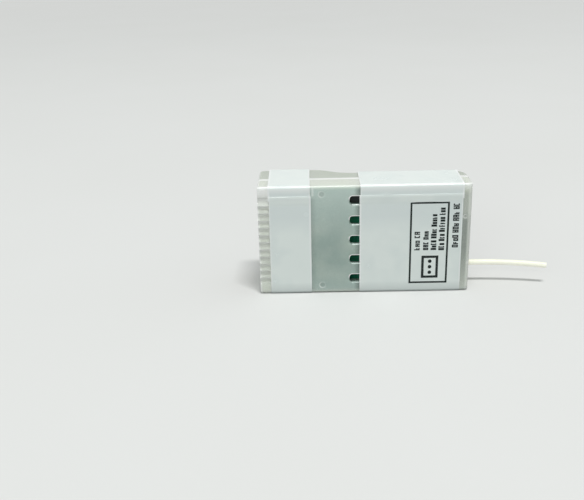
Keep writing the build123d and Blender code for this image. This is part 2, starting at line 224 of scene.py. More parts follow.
# Header: a strip of natural nylon moulded round eighteen square posts of drawn brass, plated with gold.
# Signal, positive and negative posts make a row each, and their tails are soldered behind the strip.
NYLON = (206, 203, 188)
NYLON_SHADE = (184, 181, 164)
GOLD = (226, 186, 104)
WORN_GOLD = (186, 148, 84)
RUBBED_TIPS = (-14.7, -15.7)
MILKY = (1.0, 1.0, 1.0)


def nylon_finish():
    """Moulded nylon, a little translucent, with the fine grain of its mould."""
    finish = Finish("header_nylon")
    where = finish.place()
    cloud = finish.noise(where, 0.5, detail=3.0)
    grain = finish.noise(where, 22.0, detail=2.0)
    return finish.surface(
        base_color=finish.mix(tint(*NYLON), tint(*NYLON_SHADE), cloud),
        roughness=finish.vary(grain, 0.42, 0.58),
        subsurface_weight=0.4,
        subsurface_radius=MILKY,
        subsurface_scale=0.8 * MM,
        normal=finish.bump(grain, 0.006),
    )


def plated_finish():
    """Gold plate over a drawn post: long draw marks, and duller where plugs have rubbed the tips."""
    finish = Finish("plated_post")
    where = finish.place()
    along, _, _ = finish.split(where)
    draw = finish.noise(finish.stretch(where, (0.25, 6.0, 6.0)), 3.0, detail=3.0)
    rubbed = finish.spread(along, *RUBBED_TIPS) * finish.spread(draw, 0.35, 0.65)
    return finish.surface(
        base_color=finish.mix(tint(*GOLD), tint(*WORN_GOLD), rubbed),
        metallic=1.0,
        roughness=finish.spread(draw, 0.2, 0.8, 0.16, 0.34) + 0.12 * rubbed,
        normal=finish.bump(draw, 0.004),
    )


POST_ROWS = ("signal", "positive", "negative")
posts = [f"{row}_pin_{channel + 1}" for row in POST_ROWS for channel in range(6)]
dress(nylon_finish(), "header_block")
dress(plated_finish(), *posts)


# Components: bodies of moulded epoxy and fired ceramic, a steel-canned crystal, and a lens of tinted resin.
# The small ones have tinned end caps, by which they are soldered to the board.
EPOXY = (38, 44, 44)
EPOXY_SPECK = (64, 70, 69)
CERAMIC = (176, 146, 108)
RESISTOR_GLAZE = (34, 36, 42)
GRAIN_PALER = 22
LENS, LENS_CLOUD = (214, 70, 40), (236, 120, 84)
PLATE, PLATE_CLOUD = (202, 203, 198), (178, 180, 178)
TIN = (198, 199, 196)
CAP_SHARE = 0.22


def epoxy_finish():
    """Filled moulding epoxy: nearly black, matte, with pale specks of filler."""
    finish = Finish("epoxy")
    where = finish.place()
    speck = finish.spread(finish.noise(where, 18.0, detail=3.0), 0.56, 0.7)
    sheen = finish.noise(where, 1.2)
    return finish.surface(
        base_color=finish.mix(tint(*EPOXY), tint(*EPOXY_SPECK), speck),
        roughness=finish.vary(sheen, 0.5, 0.64),
        normal=finish.bump(speck, 0.008),
    )


def box_of(node):
    """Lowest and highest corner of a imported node, in millimetres, as two rows."""
    return np.array([tuple(corner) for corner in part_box(node)]) / MM


def capped_finish(node, body):
    """Ceramic or glazed body between two tinned end caps, measured along the node itself."""
    low, high = box_of(node)[:, 0]
    cap = (high - low) * CAP_SHARE
    finish = Finish(f"capped_{node}")
    where = finish.place()
    along, _, _ = finish.split(where)
    tinned = (along < low + cap).most(along > high - cap)
    grain = finish.noise(where, 12.0, detail=3.0)
    paler = tint(*(value + GRAIN_PALER for value in body))
    return finish.surface(
        base_color=finish.lay(finish.mix(tint(*body), paler, grain), (TIN, tinned)),
        metallic=tinned,
        roughness=finish.vary(grain, 0.32, 0.46),
        normal=finish.bump(grain + tinned, 0.01),
    )


def lens_finish():
    """Clear tinted resin of the status lamp."""
    finish = Finish("lamp_resin")
    cloud = finish.noise(finish.place(), 2.0)
    return finish.surface(
        base_color=finish.mix(tint(*LENS), tint(*LENS_CLOUD), cloud),
        roughness=finish.vary(cloud, 0.12, 0.22),
        transmission_weight=0.4,
    )


def tinned_finish():
    """Tin-plated sheet: bright, with faint rolling marks and softly clouded plate."""
    finish = Finish("tinned_sheet")
    where = finish.place()
    lines = finish.noise(finish.stretch(where, (0.3, 5.0, 5.0)), 2.0, detail=3.0)
    cloud = finish.noise(where, 0.8, detail=3.0)
    return finish.surface(
        base_color=finish.mix(tint(*PLATE), tint(*PLATE_CLOUD), cloud),
        metallic=1.0,
        roughness=finish.vary(cloud, 0.22, 0.4),
        normal=finish.bump(lines, 0.004),
    )


epoxy = epoxy_finish()
tinned = tinned_finish()
dress(epoxy, "radio_chip", "microcontroller", "voltage_regulator", "choke")
dress(tinned, "screening_can", "crystal", "switch_cover")
dress(lens_finish(), "status_lamp")
for part in ("supply_capacitor", "aerial_filter", *(f"chip_capacitor_{turn + 1}" for turn in range(4))):
    dress(capped_finish(part, CERAMIC), part)
for part in (f"signal_resistor_{turn + 1}" for turn in range(6)):
    dress(capped_finish(part, RESISTOR_GLAZE), part)


# Solder behind the header: a bright cone of it round each tail of the positive and negative posts, where the
# tail comes through the upright board and the metal has drawn up it.
SOLDER = (188, 190, 190)
SOLDER_FROST = (158, 161, 163)
CONE_FOOT, CONE_TIP, CONE_POLE = 0.66, 0.4, 0.02
CONE_RISE = (0, 0, 0.2, 0.45, 0.75, 1.0, 1.0)
CONE_SHARE = 0.8
CONE_TURNS = 20


def solder_finish():
    """Cooled solder: bright metal with a frosted, slightly wrinkled skin."""
    finish = Finish("solder")
    where = finish.place()
    skin = finish.noise(where, 7.0, detail=4.0)
    return finish.surface(
        base_color=finish.mix(tint(*SOLDER), tint(*SOLDER_FROST), skin),
        metallic=1.0,
        roughness=finish.vary(skin, 0.18, 0.42),
        normal=finish.bump(skin, 0.02),
    )


def add_piece(name, points, faces, finish, body, crease=35.0):
    """Piece of the receiver from points in millimetres and rows of corner numbers. It is smooth where its
    faces meet at less than the crease angle."""
    used, numbers = np.unique(np.concatenate([np.ravel(rows) for rows in faces]), return_inverse=True)
    corners = np.split(numbers, np.cumsum([np.size(rows) for rows in faces])[:-1])
    polygons = [row for part, rows in zip(corners, faces) for row in part.reshape(np.shape(rows)).tolist()]
    mesh = bpy.data.meshes.new(name)
    mesh.from_pydata((np.asarray(points).reshape(-1, 3)[used] * MM).tolist(), [], polygons)
    mesh.shade_smooth()
    mesh.set_sharp_from_angle(angle=math.radians(crease))
    mesh.materials.append(finish.material)
    piece = bpy.data.objects.new(name, mesh)
    bpy.context.scene.collection.objects.link(piece)
    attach(piece, body)
    return piece


def solder_cones(feet, height):
    """Cones along +X on each foot point: circles whose radius falls with the square of what is left of the
    rise, from foot to tip, closed by a small disc at each end. Returns points and faces."""
    turn = np.linspace(0, 2 * np.pi, CONE_TURNS, endpoint=False)
    rise = np.array(CONE_RISE)
    radius = CONE_TIP + (CONE_FOOT - CONE_TIP) * (1 - rise) ** 2
    radius[[0, -1]] = CONE_POLE
    level = np.broadcast_to(rise[:, None] * height, (len(rise), CONE_TURNS))
    ring = np.stack([level, radius[:, None] * np.cos(turn), radius[:, None] * np.sin(turn)], -1)
    points = (feet[:, None, None, :] + ring).reshape(-1, 3)
    number = np.arange(len(rise) * CONE_TURNS).reshape(len(rise), CONE_TURNS)
    after = np.roll(number, -1, axis=1)
    side = np.stack([number[:-1], after[:-1], after[1:], number[1:]], -1).reshape(-1, 4)
    start = np.arange(len(feet))[:, None, None] * number.size
    ends = [start[:, 0] + number[0, ::-1], start[:, 0] + number[-1]]
    return points, [(side + start).reshape(-1, 4), *ends]


soldered = [node for node in posts if not node.startswith("signal")]
tails = np.array([box_of(node).mean(axis=0) for node in soldered])
board_back = box_of("header_board")[1, 0]
tail_length = box_of("positive_pin_1")[1, 0] - board_back
tails[:, 0] = board_back
cone_points, cone_faces = solder_cones(tails, tail_length * CONE_SHARE)
solder = solder_finish()
add_piece("tail_solder", cone_points, cone_faces, solder, "housing")


# Link switch: a moulded base with a sprung steel dome in its well, a folded steel cover, and a plunger that
# is pressed with a thin tool through the hole in the rear of the case.
PLUNGER, PLUNGER_RUBBED = (36, 36, 38), (58, 58, 60)


def plunger_finish():
    """Moulded acetal, satin, with paler rubbed specks in a fine grain."""
    finish = Finish("plunger")
    where = finish.place()
    grain = finish.noise(where, 14.0, detail=3.0)
    return finish.surface(
        base_color=finish.mix(tint(*PLUNGER), tint(*PLUNGER_RUBBED), grain),
        roughness=finish.vary(grain, 0.34, 0.5),
        normal=finish.bump(grain, 0.006),
    )


dress(epoxy, "switch_body")
dress(tinned, "switch_dome")
dress(plunger_finish(), "link_button")


# Aerial: silver-plated strands in an extruded cream sheath. The wire is bared at its inner end and soldered
# to its pad, and the two shells grip the sheath where it leaves the case.
SHEATH = (252, 251, 236)
SHEATH_SHADE = (248, 246, 227)
# Strength of the painted glow on the sheath's shaded side.
SHEATH_PAINTED_GLOW = 0.36
BLACK = (0.0, 0.0, 0.0, 1.0)


def sheath_finish():
    """Extruded sheath: waxy, with faint draw lines and a few handled smudges. A painted glow lights its
    shaded, downward side."""
    finish = Finish("aerial_sheath")
    where = finish.place()
    lines = finish.noise(finish.stretch(where, (0.15, 3.0, 3.0)), 3.0, detail=3.0)
    smudge = finish.noise(where, 0.35, detail=3.0)
    waxy = finish.mix(tint(*SHEATH), tint(*SHEATH_SHADE), smudge)
    _, _, upward = finish.facing()
    return finish.surface(
        base_color=waxy,
        roughness=finish.vary(lines, 0.3, 0.42),
        specular_ior_level=0.35,
        subsurface_weight=0.3,
        subsurface_radius=MILKY,
        subsurface_scale=0.3 * MM,
        emission_color=finish.mix(BLACK, waxy, finish.spread(upward, 0.6, -0.4, 0.1, 1.0)),
        emission_strength=SHEATH_PAINTED_GLOW,
        normal=finish.bump(lines, 0.006),
    )


dress(sheath_finish(), "aerial_jacket")
dress(tinned, "aerial_core")
dress(solder, "aerial_joint")


# Case: two half shells of milky translucent styrene, moulded in a satin tool and closed on the parting line.
# Rims, flutes and marks get painted highlights, as paler colour and a painted glow, and the boards show
# through the broad face as a soft grey-green, with painted shade beside the label's bands.
CASE_PALE = (236, 240, 229)
CASE_REAR = (209, 214, 203)
CASE_END = (172, 178, 171)
CASE_OVER_BOARD = (176, 194, 187)
CASE_CLOUD = (194, 208, 199)
CASE_HIGH = (216, 231, 225)
# Tone of painted shade: beside the bands, in the marks' dimples and towards the flutes' foot.
CASE_SHADED = (108, 124, 117)
# Tone of the painted highlights and painted glow.
CASE_PAINTED_HIGHLIGHT = (253, 254, 251)
VENT_LIP = (166, 184, 176)
# Flutes, painted lit and shaded: paler where each lies in shade, greyer where it is lit.
FLUTE_LIT, FLUTE_SHADED = (201, 205, 193), (251, 253, 244)
BAND_SHADES, FLUTE_SHADE, DIMPLE_SHADE, BOUNCE_GREEN_SHARE = (0.25, 0.75), 0.13, 0.2, 0.55
# Strength of the painted glow that stands in for highlights, and below it, its share at each place.
PAINTED_GLOW_STRENGTH = 0.32
PARTING_GLOW, MOUTH_GLOW, STRIP_GLOW = 0.5, 0.22, 0.34
FLUTE_GLOW, TOP_FLUTE_GLOW = 0.15, 0.4
MARK_GLOW, GATE_GLOW, STREAK_GLOW = 0.18, 0.25, 0.2
AERIAL_GLOW, END_RIM_GLOW, END_TOP_GLOW = 0.25, 0.12, 0.22

front_low, front_high = box_of("front_shell")
middle_z = (front_low[2] + front_high[2]) / 2
BAND_EDGES = (-8.9, -0.77)
BOARD_HALF, BOARD_FROM_X = (9.5, 8.7), (-9.3, -8.9)
VENT_MIDDLE_X, VENT_HALF_LENGTH = 1.53, 4.0
VENT_PITCH, VENT_HALF_HEIGHT, VENT_CORNER = 3.45, 0.725, 0.5
VENT_REACH, VENT_LIP_WIDTH, VENT_DEPTH = 8.4, 0.16, 1.3
INNER_FLOOR = 1.1
MARK_X, MARK_FROM_MIDDLE, MARK_RADIUS = -7.05, 8.04, 0.5
GATE_X, GATE_Z, GATE_RADIUS = 16.56, 13.31, 0.3
STRIP_END = front_low[0] + 1.8
FLUTE_FOOT, FLUTE_PITCH = 1.745, 1.27
FLUTE_TOP = FLUTE_FOOT + 12.2 * FLUTE_PITCH
END_EDGE = front_high[0] - 1.45
END_RIM = (front_high[0] - 0.75, front_high[0] - 0.45)
AERIAL_Z = 5.1
# Painted highlight streak beside the left band's edge, high on the front.
STREAK_X, STREAK_FOOT, STREAK_TOP = BAND_EDGES[0] + 0.38, 17.25, 18.7
BAND_SHADE_TOP = 16.9
NOWHERE = 1000.0


class CaseFinish(Finish):
    """Milky styrene under way, with the places on the case that set its tones and its painted glow."""

    def __init__(self):
        super().__init__("case_styrene")
        self.where = self.place()
        self.along, self.across, self.up = self.split(self.where)
        self.from_middle = abs(self.up - middle_z)
        self.front = self.spread(self.across, front_low[1] + 0.4, front_low[1] + 0.25)
        self.strip = self.front * (self.along < STRIP_END)
        self.flutes = self.strip * (self.up < FLUTE_TOP) * (self.up > FLUTE_FOOT)
        self.up_flute = ((self.up - FLUTE_FOOT) / FLUTE_PITCH).math("FRACT")
        self.end_rim = self.spread(self.along, *END_RIM) * (self.across < front_low[1] + 1.2)
        self.up_vent = ((self.up - middle_z) / VENT_PITCH + 0.5).math("FRACT")

    def vent_lip(self):
        """Narrow lip round the vents, by the distance from a round-cornered bar: square root of the sum of
        the squares of how far a point is past the bar's core both ways, less the corner's radius."""
        beside = abs(self.up_vent - 0.5) * VENT_PITCH - (VENT_HALF_HEIGHT - VENT_CORNER)
        beyond = abs(self.along - VENT_MIDDLE_X) - (VENT_HALF_LENGTH - VENT_CORNER)
        squares = [past.math("MAXIMUM", 0.0).math("POWER", 2) for past in (beside, beyond)]
        from_vent = (squares[0] + squares[1]).math("SQRT") - VENT_CORNER
        from_vent = from_vent + NOWHERE * (self.from_middle > VENT_REACH)
        in_wall = self.across < front_low[1] + VENT_DEPTH
        return self.spread(from_vent, VENT_LIP_WIDTH, VENT_LIP_WIDTH / 2) * in_wall

    def ring(self, x, rise, radius):
        """How far a point is from a centre, and a crescent of painted highlight round it, brightest towards
        lower X.
        """
        side = self.along - x
        distance = (side * side + rise * rise).math("SQRT")
        lit = self.spread(abs(distance - radius), 0.16, 0.03) * self.spread(side, 0.5, -0.3, 0.35, 1.0)
        return distance, lit * self.front

    def behind_wall(self):
        """Boards seen through the wall: cloudy, paler high up and at the foot, and with painted shadow
        beside the bands.
        """
        left_band_shadow = self.spread(self.along, BAND_EDGES[0] + 1.0, BAND_EDGES[0], 0.0, BAND_SHADES[0])
        right_band_shadow = self.spread(self.along, BAND_EDGES[1] - 0.98, BAND_EDGES[1], 0.0, BAND_SHADES[1])
        return self.lay(
            tint(*CASE_OVER_BOARD),
            (CASE_CLOUD, self.spread(self.noise(self.where, 0.22, detail=2.0), 0.42, 0.68)),
            (CASE_HIGH, self.spread(self.up, 9.0, 18.0, 0.0, 0.9)),
            (CASE_HIGH, self.spread(self.up, 5.5, 0.5, 0.0, 0.35)),
            (CASE_SHADED, left_band_shadow * (self.up < BAND_SHADE_TOP)),
            (CASE_SHADED, right_band_shadow * (self.along < 0)),
        )

    def end_tone(self):
        """Strip beside the aerial: darker over the boards, paler at the foot and the top, and with a painted
        highlight along the rim.
        """
        return self.lay(
            tint(*CASE_END),
            (CASE_PALE, self.spread(self.up, 7.5, 1.0, 0.0, 0.6)),
            (CASE_PALE, self.spread(self.up, 12.5, 14.2, 0.0, 0.52)),
            (CASE_PALE, self.spread(self.up, 17.0, 18.0)),
            (CASE_PALE, self.end_rim * 0.4),
        )

    def tone(self, lip, from_mark):
        """Pale wall, grey-green over the boards, with its flutes, vents and marks, painted shade in the
        marks' dimples, and a painted green reflection of the board on the inner floor beneath it."""
        over_board = self.front * self.spread(self.from_middle, *BOARD_HALF)
        over_board = over_board * self.spread(self.along, *BOARD_FROM_X)
        # Painted shade that darkens the flutes towards the foot.
        flute_foot = self.spread(self.up, 10.0, 1.0, 0.0, FLUTE_SHADE)
        flute = self.lay(tint(*FLUTE_LIT), (FLUTE_SHADED, self.up_flute), (CASE_SHADED, flute_foot))
        # Painted shade in the moulding marks' dimples.
        dimple = self.spread(from_mark, MARK_RADIUS, MARK_RADIUS - 0.12) * self.front
        # Painted green reflection of the board on the shell's inner floor.
        inside = (self.across > front_low[1] + VENT_DEPTH) * (abs(self.along - VENT_MIDDLE_X) < 5.0)
        green_bounce = (abs(self.up - INNER_FLOOR) < 0.3) * inside
        body = self.lay(tint(*CASE_PALE), (CASE_REAR, self.across > front_high[1]))
        body = self.mix(body, self.behind_wall(), over_board)
        body = self.mix(body, self.end_tone(), over_board * (self.along > END_EDGE))
        body = self.mix(body, flute, self.flutes)
        return self.lay(
            body,
            (VENT_LIP, lip),
            (CASE_SHADED, dimple * DIMPLE_SHADE),
            (MASK_OVER_LAMINATE, green_bounce * BOUNCE_GREEN_SHARE),
        )

    def painted_glow(self, lip, mark_crescent):
        """Share of painted glow for highlights: the greatest of those of all rims and crescents."""
        # Each share is a painted highlight: the vents' upper lips, the parting line, the marks, a spot by
        # the aerial, a streak beside the left band, the end rim and top, the upper strip, the flute ledges
        # and the mouth's edge.
        parting = self.spread(abs(self.across - front_high[1] + 0.15), 0.8, 0.2) * (self.from_middle > 9.1)
        _, gate_crescent = self.ring(GATE_X, self.up - GATE_Z, GATE_RADIUS)
        by_aerial = self.spread(abs(self.up - AERIAL_Z), 0.5, 0.15)
        by_aerial = by_aerial * self.spread(self.along, front_high[0] - 0.7, front_high[0] - 0.4)
        # Painted highlight streak beside the left band.
        painted_streak = self.spread(abs(self.along - STREAK_X), 0.22, 0.08)
        painted_streak = painted_streak * (self.up > STREAK_FOOT) * (self.up < STREAK_TOP)
        end_top = self.spread(self.up, 17.7, 18.3) * (self.along > END_EDGE)
        top_flute = self.spread(abs(self.up - FLUTE_TOP), 0.3, 0.1)
        mouth = self.spread(self.along, front_low[0] + 0.4, front_low[0] + 0.15, 0.0, MOUTH_GLOW)
        return (lip * self.spread(self.up_vent, 0.5, 0.62)).most(
            parting * PARTING_GLOW,
            mark_crescent * MARK_GLOW,
            gate_crescent * GATE_GLOW,
            by_aerial * self.front * AERIAL_GLOW,
            painted_streak * self.front * STREAK_GLOW,
            self.end_rim * END_RIM_GLOW,
            end_top * self.front * END_TOP_GLOW,
            self.spread(self.up, 14.0, 18.0, 0.0, STRIP_GLOW) * self.strip,
            self.flutes * self.up_flute * FLUTE_GLOW,
            top_flute * self.strip * TOP_FLUTE_GLOW,
            mouth,
        )


def case_finish():
    """Milky styrene: its tone and its painted glow, in a wall that scatters light and has a satin grain."""
    finish = CaseFinish()
    lip = finish.vent_lip()
    from_mark, mark_crescent = finish.ring(MARK_X, finish.from_middle - MARK_FROM_MIDDLE, MARK_RADIUS)
    # Painted glow: highlights painted as paler colour and as emission.
    glow = finish.painted_glow(lip, mark_crescent)
    grain = finish.noise(finish.where, 16.0, detail=3.0)
    return finish.surface(
        base_color=finish.mix(finish.tone(lip, from_mark), tint(*CASE_PAINTED_HIGHLIGHT), glow * 2),
        roughness=finish.vary(grain, 0.2, 0.3),
        ior=1.5,
        specular_ior_level=0.7,
        transmission_weight=0.12,
        subsurface_weight=0.85,
        subsurface_radius=MILKY,
        subsurface_scale=0.9 * MM,
        emission_color=finish.mix(BLACK, tint(*CASE_PAINTED_HIGHLIGHT), glow),
        emission_strength=PAINTED_GLOW_STRENGTH,
        normal=finish.bump(grain, 0.003),
    )


dress(case_finish(), "front_shell", "rear_shell")


# Wrap label: one die-cut white film that holds the two shells shut. Two bands go round the case and lap over
# themselves high on the front, and a panel joins them across the bend of the rear face.
FILM = 0.08
LAP_SEAM, LAP_START, LAP_CLIMB = 17.28, 15.75, 1.5
LAP_BEVEL, LAP_STEPS = 0.28, 8
UNDER_FLAP = 16.48
FRONT_RADIUS, REAR_RADIUS = 0.45, 0.25
PANEL = (1.28, 17.76)
HOLE_RADIUS, HOLE_REACH, HOLE_ROWS = 1.3, 2.0, (15.48, 11.68)
LABEL_SKEW = 0.16
EDGE_CELL = 0.04
WAVE_DEPTH = 0.012
BUBBLE, BUBBLE_SIZE, BUBBLE_RISE = (3.4, 17.43), (0.7, 0.16), 0.03
DASHED, DASH_MIDDLE, DASH_REACH = (-15.2, -12.4), -13.9, 1.3
NICK_X, NICK_WIDTH = 8.9, 0.12
BEVEL_DEPTH, DASH_DEPTH, DASH_STEEPER = 0.032, 0.04, 5.0
FILM_WHITE = (241, 247, 244)
FILM_SHADE = (234, 241, 239)
# Tones of painted shade high on the front and at the foot.
FILM_HIGH_SHADE = (231, 238, 237)
FILM_FOOT_SHADE = (212, 219, 217)
# Tone of the painted highlights along the film's edges.
FILM_HIGHLIGHT = (251, 253, 252)
FILM_TOP = 18.6

label_low, label_high = box_of("wrap_label")
band_ends = (label_low[0], *BAND_EDGES, label_high[0])
hole_x, _, hole_z = box_of("link_button").mean(axis=0)


def label_finish():
    """Glossy white film over soft adhesive: faint orange peel, slow waves and a few dull handled patches. It
    has painted highlights along its cut and top edges, and painted shade high on the front and at its foot."""
    finish = Finish("label_film")
    where = finish.place()
    peel = finish.noise(where, 3.5, detail=2.0)
    wave = finish.noise(where, 0.22, detail=2.0)
    handled = finish.spread(finish.noise(where, 0.3, detail=1.0), 0.45, 0.75)
    along, across, up = finish.split(where)
    _, to_rear, upward = finish.facing()
    below_top = up < FILM_TOP
    on_lap = finish.spread(up, 15.4, 16.2) * (up < LAP_SEAM) * (across < 0)
    # Painted shade, greyer high on the front except on the lap.
    high = finish.spread(up, 10.6, 13.6) * below_top * (1 - on_lap)
    front_or_top = (across < 0).most(up > FILM_TOP)
    cuts = [finish.spread(abs(along - cut), 0.3, 0.14) * front_or_top for cut in band_ends]
    # Painted highlight near the top edges and along the cut edges.
    edge = finish.spread(up, 17.7, FILM_TOP) * below_top
    edge = edge.most((to_rear > 0.15) * (upward > 0.15), *cuts)
    # Painted shade at the foot.
    foot = finish.spread(up, 2.0, 0.3)
    return finish.surface(
        base_color=finish.lay(
            tint(*FILM_WHITE), (FILM_SHADE, handled), (FILM_HIGH_SHADE, high), (FILM_HIGHLIGHT, edge), (FILM_FOOT_SHADE, foot)
        ),
        roughness=0.16 + 0.1 * handled + 0.05 * peel,
        specular_ior_level=0.75,
        normal=finish.bump(peel * 0.12 + wave, 0.02),
    )


END_X, THICK_Y, _ = box_of("rear_shell")[1]
THIN_Y = 2.95
FAR_CORNER = 2.2
BEND_START, BEND_LENGTH = -8.7, 7.0


def rear_height(along, film):
    """Y of the rear face at places along X: thick, then two equal arcs down to thin, then the round far
    corner. Each arc falls by its radius less the square root of radius squared less way squared. The film's
    thickness is added square to the face."""
    drop = THICK_Y - THIN_Y
    radius = (BEND_LENGTH**2 + drop**2) / (4 * drop)
    head, foot = BEND_START, BEND_START + BEND_LENGTH
    into = np.clip(along - head, 0, BEND_LENGTH / 2)
    out_of = np.clip(foot - along, 0, BEND_LENGTH / 2)
    first = radius - np.sqrt(radius**2 - into**2)
    second = radius - np.sqrt(radius**2 - out_of**2)
    y = np.where(along < head + BEND_LENGTH / 2, THICK_Y - first, THIN_Y + second)
    corner = np.clip(along - (END_X - FAR_CORNER), 0, None)
    y = y - (FAR_CORNER - np.sqrt(FAR_CORNER**2 - corner**2))
    slope = np.gradient(y, along)
    return y + film * np.sqrt(1 + slope**2)


def lines_between(stops, steps):
    """Numbers that go from stop to stop in so many even steps each."""
    spans = [np.linspace(a, b, count, endpoint=False) for a, b, count in zip(stops, stops[1:], steps)]
    return np.append(np.concatenate(spans), stops[-1])


def wrap_path():
    """Section of the film seen along X, from the under flap over the top, down the rear, along the bottom
    and up the front to the lap. Each point has a Y of its own, a share of the rear face's Y, and a Z."""
    front, top = front_low[1] - FILM, label_high[2]
    near, far = (np.linspace(0, np.pi / 2, count + 1)[1:-1] for count in (9, 7))
    under = lines_between((UNDER_FLAP, top - FRONT_RADIUS), (16,))
    flat = lines_between((0.0, 1.0), (26,))
    rear_stops = (top - REAR_RADIUS, PANEL[1], *HOLE_ROWS, PANEL[0], REAR_RADIUS)
    rear = lines_between(rear_stops, (4, 12, 26, 44, 4))
    front_up = lines_between((FRONT_RADIUS, LAP_START, LAP_SEAM - LAP_BEVEL, LAP_SEAM), (60, 10, LAP_STEPS))
    deep = front + FRONT_RADIUS
    pieces = [
        (np.full_like(under, front), 0 * under, under),
        (deep - FRONT_RADIUS * np.cos(near), 0 * near, top - FRONT_RADIUS * (1 - np.sin(near))),
        (deep * (1 - flat) - REAR_RADIUS * flat, flat, np.full_like(flat, top)),
        (REAR_RADIUS * (np.sin(far) - 1), 1 + 0 * far, top - REAR_RADIUS * (1 - np.cos(far))),
        (0 * rear, 1 + 0 * rear, rear),
        (REAR_RADIUS * (np.cos(far) - 1), 1 + 0 * far, REAR_RADIUS * (1 - np.sin(far))),
        (-REAR_RADIUS * (1 - flat) + deep * flat, 1 - flat, 0 * flat),
        (deep - FRONT_RADIUS * np.sin(near), 0 * near, FRONT_RADIUS * (1 - np.cos(near))),
        (np.full_like(front_up, front), 0 * front_up, front_up),
    ]
    own, share, height = (np.concatenate([piece[part] for piece in pieces]) for part in range(3))
    lapped = np.arange(len(own)) >= len(own) - len(front_up)
    climb = np.clip((height - LAP_START) / LAP_CLIMB, 0, 1) * lapped
    own = own - FILM * climb
    return own, share, height


def wrap_surface(along):
    """Grid of the film's outer face: the wrap path at each place along X, each band slightly askew its own
    way."""
    own, share, height = wrap_path()
    rear = rear_height(along, FILM)
    turn = np.linspace(-0.5, 0.5, len(own))[:, None]
    askew = np.where(along < sum(band_ends) / 4, LABEL_SKEW, -LABEL_SKEW)
    x = along[None, :] + askew * turn * (np.abs(share[:, None] - 1) > 0)
    y = own[:, None] + share[:, None] * rear[None, :]
    z = np.broadcast_to(height[:, None], y.shape)
    return np.stack([x, y, z], -1)


def normals_of(grid):
    """Outward normals of a grid of points, from the steps to its neighbours both ways."""
    square = np.cross(np.gradient(grid, axis=1), np.gradient(grid, axis=0))
    return square / np.linalg.norm(square, axis=-1, keepdims=True)


def corner_numbers(shape):
    """Numbers of the four corners of every cell of a grid, going round it."""
    number = np.arange(shape[0] * shape[1]).reshape(shape[:2])
    return [number[:-1, :-1], number[:-1, 1:], number[1:, 1:], number[1:, :-1]]


def film_faces(shape, kept):
    """Faces of a closed film over the kept cells of a grid: both sides, and a wall along each open edge."""
    corners = corner_numbers(shape)
    below = shape[0] * shape[1]
    outer = np.stack([corner[kept] for corner in corners], -1)
    inner = np.stack([corner[kept] + below for corner in corners[::-1]], -1)
    around = np.pad(kept, 1)
    neighbours = [around[:-2, 1:-1], around[1:-1, 2:], around[2:, 1:-1], around[1:-1, :-2]]
    walls = []
    for side, neighbour in enumerate(neighbours):
        open_edge = kept & ~neighbour
        first, second = corners[side][open_edge], corners[(side + 1) % 4][open_edge]
        walls.append(np.stack([second, first, first + below, second + below], -1))
    return [outer, inner, *walls]


def corners_of(cells):
    """Points of a grid that are a corner of any of these cells."""
    touched = np.zeros((cells.shape[0] + 1, cells.shape[1] + 1), bool)
    for rows in (slice(None, -1), slice(1, None)):
        for places in (slice(None, -1), slice(1, None)):
            touched[rows, places] |= cells
    return touched


def round_hole(grid, in_hole):
    """Moves the points on the rim of the hole's cells straight from its middle onto its circle."""
    rim = corners_of(in_hole) & corners_of(~in_hole)
    moved = grid[rim]
    offset = moved[:, [0, 2]] - (hole_x, hole_z)
    onto = HOLE_RADIUS / np.linalg.norm(offset, axis=1, keepdims=True)
    moved[:, [0, 2]] = (hole_x, hole_z) + offset * onto
    grid[rim] = moved


def film_relief(grid):
    """How deep the film's face lies below its outline: slow waves, less a bubble that falls off with the
    square of the way from it, plus the lap's bevel, which is steeper and deeper in dashes and at a nick."""
    x, y, z = np.moveaxis(grid, -1, 0)
    girth = z + y
    waves = 0.5 + 0.25 * np.sin(0.9 * x + 1.7 * np.sin(0.35 * girth)) + 0.25 * np.sin(0.8 * girth + 0.3 * x)
    from_bubble = ((x - BUBBLE[0]) / BUBBLE_SIZE[0]) ** 2 + ((z - BUBBLE[1]) / BUBBLE_SIZE[1]) ** 2
    bubble = np.exp(-from_bubble) * (y < 0)
    dashes = np.sin(10.5 * x + 0.8 * np.sin(3.3 * x)) > -0.1
    dashes = dashes * np.exp(-((x - DASH_MIDDLE) / DASH_REACH) ** 8)
    dashes = np.maximum(dashes, np.exp(-((x - NICK_X) / NICK_WIDTH) ** 2))
    last = np.zeros((len(grid), 1))
    last[-LAP_STEPS - 1:, 0] = np.linspace(0, 1, LAP_STEPS + 1)
    bevel = (BEVEL_DEPTH + DASH_DEPTH * dashes) * last ** (1 + DASH_STEEPER * dashes)
    return WAVE_DEPTH * waves - BUBBLE_RISE * bubble + bevel


column_stops = (
    band_ends[0], band_ends[0] + EDGE_CELL, *DASHED, band_ends[1] - EDGE_CELL, band_ends[1],
    band_ends[2], band_ends[2] + EDGE_CELL, hole_x - HOLE_REACH, hole_x + HOLE_REACH,
    band_ends[3] - EDGE_CELL, band_ends[3],
)
columns = lines_between(column_stops, (1, 2, 20, 14, 1, 40, 1, 40, 26, 4, 1))
label_grid = wrap_surface(columns)
_, rear_share, path_height = wrap_path()
cell_x = (columns[1:] + columns[:-1]) / 2
cell_z = (path_height[1:] + path_height[:-1]) / 2
on_rear = np.minimum(rear_share[1:], rear_share[:-1]) >= 1
in_gap = (cell_x > band_ends[1]) & (cell_x < band_ends[2])
in_panel = on_rear & (cell_z > PANEL[0]) & (cell_z < PANEL[1])
from_hole = np.hypot(cell_x[None, :] - hole_x, cell_z[:, None] - hole_z)
in_hole = on_rear[:, None] & (from_hole < HOLE_RADIUS)
kept = (~in_gap[None, :] | in_panel[:, None]) & ~in_hole
round_hole(label_grid, in_hole)
outward = normals_of(label_grid)
face = label_grid - outward * film_relief(label_grid)[..., None]
back = label_grid - outward * FILM
